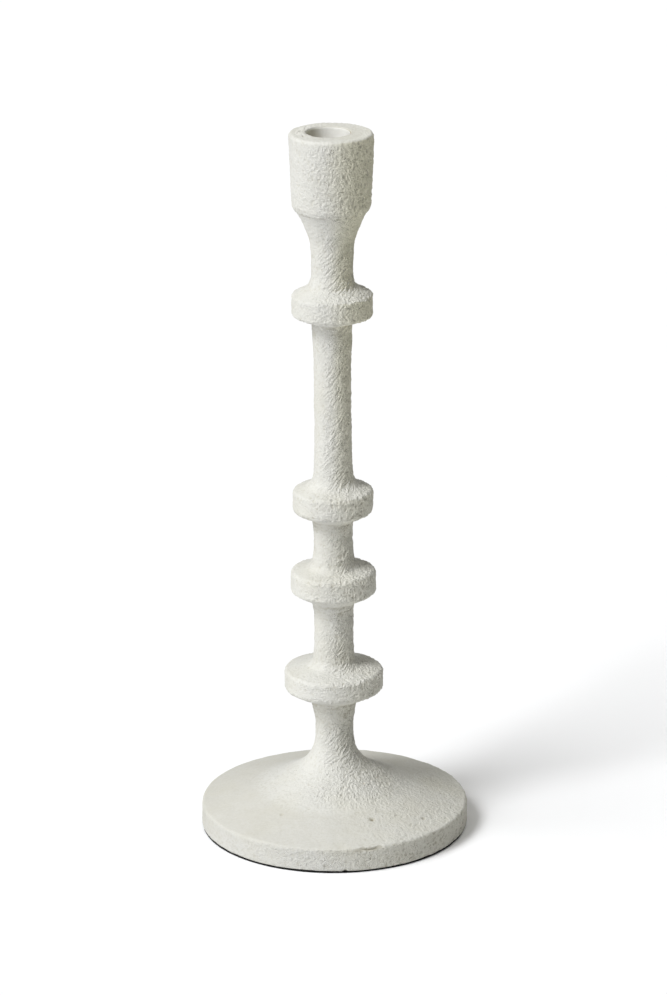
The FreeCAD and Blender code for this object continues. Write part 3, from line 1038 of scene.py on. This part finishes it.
# --- Screws and washer ------------------------------------------------
SCREW_SPOKES = 96
CUP_SCREW_RADIUS = 2.0
CUP_SCREW_PITCH = 1.8
CUP_SCREW_PLAIN = 9.0      # plain shank above the thread
CUP_SCREW_NECK = 3.0       # from the top of the flat head to the start of the shank
BASE_SCREW_RADIUS = 2.25
BASE_SCREW_PITCH = 2.0
BASE_SCREW_PLAIN = 14.0
# Side of the pan head: radius, and distance from the washer.
PAN_HEAD = [(4.4, 0), (4.6, 0.2), (4.6, 1.1), (4.4, 1.9), (3.9, 2.6), (3.1, 3.0)]
STAR_RADIUS = 1.25
STAR_LOBE = 0.15
STAR_LAND = 2.2            # radius of the flat ring round the star
DRIVE_DEPTH = 1.2
WASHER_SPOKES = 128
WASHER_ROLL = 0.35         # rounding of the washer's upper edges
steel = make_steel()


def star(height, scale=1.0):
    """Ring of the six-lobed drive recess."""
    made = rings([(1, height)], SCREW_SPOKES)
    turns = 6 * np.arange(SCREW_SPOKES) * 2 * math.pi / SCREW_SPOKES
    lobes = STAR_RADIUS + STAR_LOBE * np.cos(turns)
    made[..., :2] *= (scale * lobes)[:, None]
    return made


def drive(height):
    """Rings of the whole drive recess, from the head's face at a height down to its floor."""
    return np.concatenate([
        star(height, 1.06),
        star(height - 0.15),
        star(height - DRIVE_DEPTH, 0.96),
        star(height - DRIVE_DEPTH - 0.2, 0.4),
    ])


def thread(radius, plain, length, pitch):
    """Rings of a threaded shank from its point at -length up to 0, plain above -plain."""
    heights = np.arange(-length, 0.001, pitch / 12)
    angle = np.arange(SCREW_SPOKES) * 2 * math.pi / SCREW_SPOKES
    turn = (heights[:, None] / pitch - angle / (2 * math.pi)) % 1
    crest = np.clip(1 - np.abs(turn - 0.5) / 0.24, 0, 1)
    taper = step_up(heights, -length, -length + 3.2 * radius)[:, None]
    fade = step_up(heights, -plain, -plain - pitch)[:, None]
    core = radius * (0.74 * taper + 0.05)
    reach = radius * np.clip(1.25 * taper, 0.05, 1) - core
    made = rings([(1, height) for height in heights], SCREW_SPOKES)
    made[..., :2] *= (core + reach * crest * fade)[..., None]
    return made


def make_cup_screw():
    """Countersunk wood screw, head up."""
    length = CUP_SCREW_SEAT - CUP_SCREW_END - CUP_SCREW_NECK
    body = thread(CUP_SCREW_RADIUS, CUP_SCREW_PLAIN, length, CUP_SCREW_PITCH)
    body[..., 2] -= CUP_SCREW_NECK
    head = [
        (CUP_SCREW_RADIUS * 0.85, -2.6),
        (CUP_SCREW_RADIUS, -DIMPLE_DEPTH),
        (FLAT_HEAD_RADIUS - 0.25, -0.3),
        (FLAT_HEAD_RADIUS, -0.12),
        (FLAT_HEAD_RADIUS - 0.1, 0),
        (STAR_LAND, 0),
    ]
    made = np.concatenate([body, rings(head, SCREW_SPOKES), drive(0)])
    made[..., 2] += CUP_SCREW_SEAT
    piece, _ = loft("cup_screw_threaded", [(made, None)])
    smooth_all(piece, 35)
    finish_piece(piece, "cup_screw", [steel])


def make_base_screw():
    """Pan-head wood screw, head down in the recess of the base."""
    length = BASE_SCREW_END - WASHER_BOTTOM
    face = WASHER_BOTTOM - BASE_SCREW_HEAD
    body = thread(BASE_SCREW_RADIUS, BASE_SCREW_PLAIN, length, BASE_SCREW_PITCH)
    head = rings(PAN_HEAD + [(STAR_LAND, face)], SCREW_SPOKES)
    made = np.concatenate([body, head, drive(face)])
    made[..., 1] *= -1
    made[..., 2] = WASHER_BOTTOM - made[..., 2]
    piece, _ = loft("base_screw_threaded", [(made, None)])
    smooth_all(piece, 35)
    finish_piece(piece, "base_screw", [steel])


def make_washer():
    """Stamped washer: its upper edges rolled over, its lower ones nearly sharp."""
    thick = WASHER_TOP - WASHER_BOTTOM
    corners = [
        (BASE_HOLE, 0.1),
        (BASE_HOLE + 0.1, 0),
        (WASHER_RADIUS - 0.1, 0),
        (WASHER_RADIUS, 0.1),
        (WASHER_RADIUS, thick - WASHER_ROLL),
        (WASHER_RADIUS - 0.1, thick - 0.12),
        (WASHER_RADIUS - WASHER_ROLL, thick),
        (BASE_HOLE + WASHER_ROLL, thick),
        (BASE_HOLE + 0.1, thick - 0.12),
        (BASE_HOLE, thick - WASHER_ROLL),
    ]
    placed = [(radius, WASHER_BOTTOM + height) for radius, height in corners]
    piece, _ = loft("base_washer_stamped", [(rings(placed, WASHER_SPOKES), None)], closed=True)
    smooth_all(piece, 50)
    finish_piece(piece, "base_washer", [steel])


make_cup_screw()
make_base_screw()
make_washer()

# --- Floor ------------------------------------------------------------
FLOOR_RADII = (100, 400, 1500, 6000)
FLOOR_HEIGHT = -0.01       # just under the pad
FLOOR_SPOKES = 128


def make_floor():
    """Wide round floor."""
    points = rings([(radius, FLOOR_HEIGHT) for radius in FLOOR_RADII], FLOOR_SPOKES)
    faces = [list(range(FLOOR_SPOKES))]
    for ring in range(len(FLOOR_RADII) - 1):
        inner = FLOOR_SPOKES * ring
        outer = inner + FLOOR_SPOKES
        for spoke in range(FLOOR_SPOKES):
            ahead = (spoke + 1) % FLOOR_SPOKES
            faces.append([inner + spoke, outer + spoke, outer + ahead, inner + ahead])
    mesh = bpy.data.meshes.new("floor")
    mesh.from_pydata((points.reshape(-1, 3) * MM).tolist(), [], faces)
    mesh.materials.append(make_floor_material())
    floor = bpy.data.objects.new("floor", mesh)
    bpy.context.collection.objects.link(floor)
    return floor


make_floor()

# --- Light ------------------------------------------------------------
WARM = (1.0, 0.99, 0.94)
COOL = (0.985, 0.992, 1.0)


def add_softlight(name, azimuth, elevation, spread_angle, strength, colour):
    """Distant soft light from an azimuth in degrees from -Y towards +X.

    A strength of 1 lights a white face that looks straight at it fully.
    """
    light = bpy.data.lights.new(name, "SUN")
    light.angle = math.radians(spread_angle)
    light.energy = math.pi * strength
    light.color = colour
    lamp = bpy.data.objects.new(name, light)
    side, rise = math.radians(azimuth), math.radians(elevation)
    away = Vector((math.sin(side) * math.cos(rise), -math.cos(side) * math.cos(rise),
                   math.sin(rise)))
    lamp.rotation_euler = (-away).to_track_quat("-Z", "Y").to_euler()
    bpy.context.collection.objects.link(lamp)


add_softlight("key", -50, 47, 22, 0.55, COOL)
add_softlight("key_low", -50, 30, 28, 0.23, COOL)
add_softlight("key_left", -80, 56, 30, 0.28, COOL)
add_softlight("front", -25, 12, 30, 0.07, COOL)
add_softlight("top", 40, 70, 40, 0.205, WARM)
add_softlight("back", 145, 28, 50, 0.13, WARM)
add_softlight("back_left", -170, 30, 40, 0.09, WARM)

world = bpy.data.worlds.new("studio")
world.use_nodes = True
background = world.node_tree.nodes["Background"]
background.inputs["Color"].default_value = (1, 1, 1, 1)
background.inputs["Strength"].default_value = 0.01
bpy.context.scene.world = world
bpy.context.scene.view_settings.view_transform = "Standard"

# --- Camera -----------------------------------------------------------
CAMERA_DISTANCE = 2264.1   # in front of the axis
CAMERA_HEIGHT = 953.2
CAMERA_SIDE = 0.4
CAMERA_PITCH = 0.3273      # radians below level
CAMERA_ROLL = -0.0050
SENSOR_HEIGHT = 36.0
FOCAL_LENGTH = 164.06
CLIP_END = 50.0            # in metres

camera_data = bpy.data.cameras.new("camera")
camera_data.sensor_fit = "VERTICAL"
camera_data.sensor_height = SENSOR_HEIGHT
camera_data.lens = FOCAL_LENGTH
camera_data.clip_end = CLIP_END
camera = bpy.data.objects.new("camera", camera_data)
camera.matrix_world = (
    Matrix.Translation(Vector((CAMERA_SIDE, -CAMERA_DISTANCE, CAMERA_HEIGHT)) * MM)
    @ Matrix.Rotation(math.pi / 2 - CAMERA_PITCH, 4, "X")
    @ Matrix.Rotation(CAMERA_ROLL, 4, "Z")
)
bpy.context.collection.objects.link(camera)
bpy.context.scene.camera = camera
